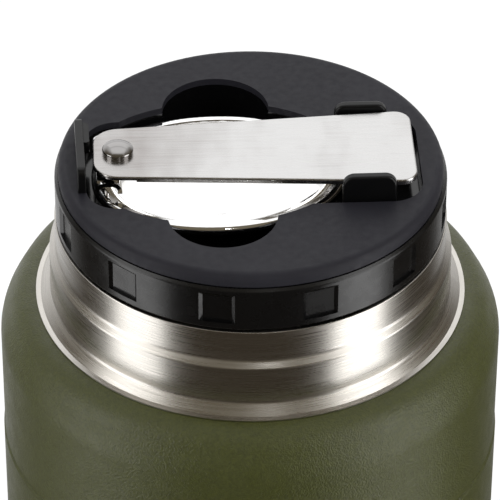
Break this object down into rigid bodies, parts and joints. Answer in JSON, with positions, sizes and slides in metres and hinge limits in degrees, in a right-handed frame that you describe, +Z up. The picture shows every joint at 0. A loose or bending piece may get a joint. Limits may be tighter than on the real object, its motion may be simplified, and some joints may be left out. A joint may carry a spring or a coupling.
{
  "type": "insulated food jar",
  "caption": "Vacuum food jar with a screw stopper whose recess holds a folding spoon under snap clips.",
  "frame": {"origin": "centre of the face the jar stands on", "axes": "+Z up along the jar's axis, +X towards the free end of the spoon's handle, +Y to the back"},
  "size_m": [0.1146, 0.1146, 0.1561],
  "materials": {
    "shell_coat": "powder coat",
    "neck_steel": "brushed",
    "liner_steel": "satin",
    "foil_copper": "polished",
    "getter_pellet": "sintered",
    "getter_steel": "plain",
    "plate_steel": "plain",
    "seal_glass": "fused",
    "cap_steel": "brushed",
    "pad_rubber": "matte",
    "deck_plastic": "fine texture",
    "ring_plastic": "satin gloss",
    "tray_plastic": "gloss",
    "clip_plastic": "satin gloss",
    "latch_plastic": "satin gloss",
    "plug_plastic": "moulded",
    "foam": "closed-cell foam",
    "gasket_silicone": "silicone",
    "handle_steel": "brushed",
    "rivet_steel": "polished",
    "washer_steel": "plain",
    "bowl_steel": "mirror polish"
  },
  "bodies": {
    "jar": {"outer_shell": "shell_coat", "neck_collar": "neck_steel", "inner_vessel": "liner_steel", "copper_foil": "foil_copper", "getter": "getter_pellet", "getter_clip": "getter_steel", "shell_base_plate": "plate_steel", "vacuum_seal": "seal_glass", "base_cap": "cap_steel", "base_pad": "pad_rubber"},
    "seal": {"mouth_gasket": "gasket_silicone"},
    "stopper": {"deck_cover": "deck_plastic", "grip_ring": "ring_plastic", "spoon_tray": "tray_plastic", "front_clip": "clip_plastic", "rear_clip": "clip_plastic", "end_latch": "latch_plastic", "stopper_plug": "plug_plastic", "plug_foam": "foam", "plug_base": "plug_plastic"},
    "spoon": {"spoon_handle": "handle_steel", "spoon_rivet": "rivet_steel", "spoon_washer": "washer_steel"},
    "bowl": {"spoon_bowl": "bowl_steel"}
  },
  "joints": [
    {"name": "stopper_lift", "type": "slide", "parent": "jar", "child": "seal", "axis": [0, 0, 1], "range_m": [0, 0.036]},
    {"name": "stopper_turn", "type": "hinge", "parent": "seal", "child": "stopper", "pos_m": [0, 0, 0.14], "axis": [0, 0, 1], "range_deg": [0, 1080]},
    {"name": "spoon_lift", "type": "slide", "parent": "stopper", "child": "spoon", "axis": [0, 0, 1], "range_m": [0, 0.32]},
    {"name": "spoon_fold", "type": "hinge", "parent": "spoon", "child": "bowl", "pos_m": [-0.02939, -0.00284, 0.151], "axis": [0, 0, 1], "range_deg": [0, 180]}
  ],
  "couplings": [
    {"joint": "stopper_lift", "follows": "stopper_turn", "m_per_rad": 0.0019099},
    {"joint": "spoon_fold", "follows": "spoon_lift", "rad_per_m": 9.817}
  ]
}
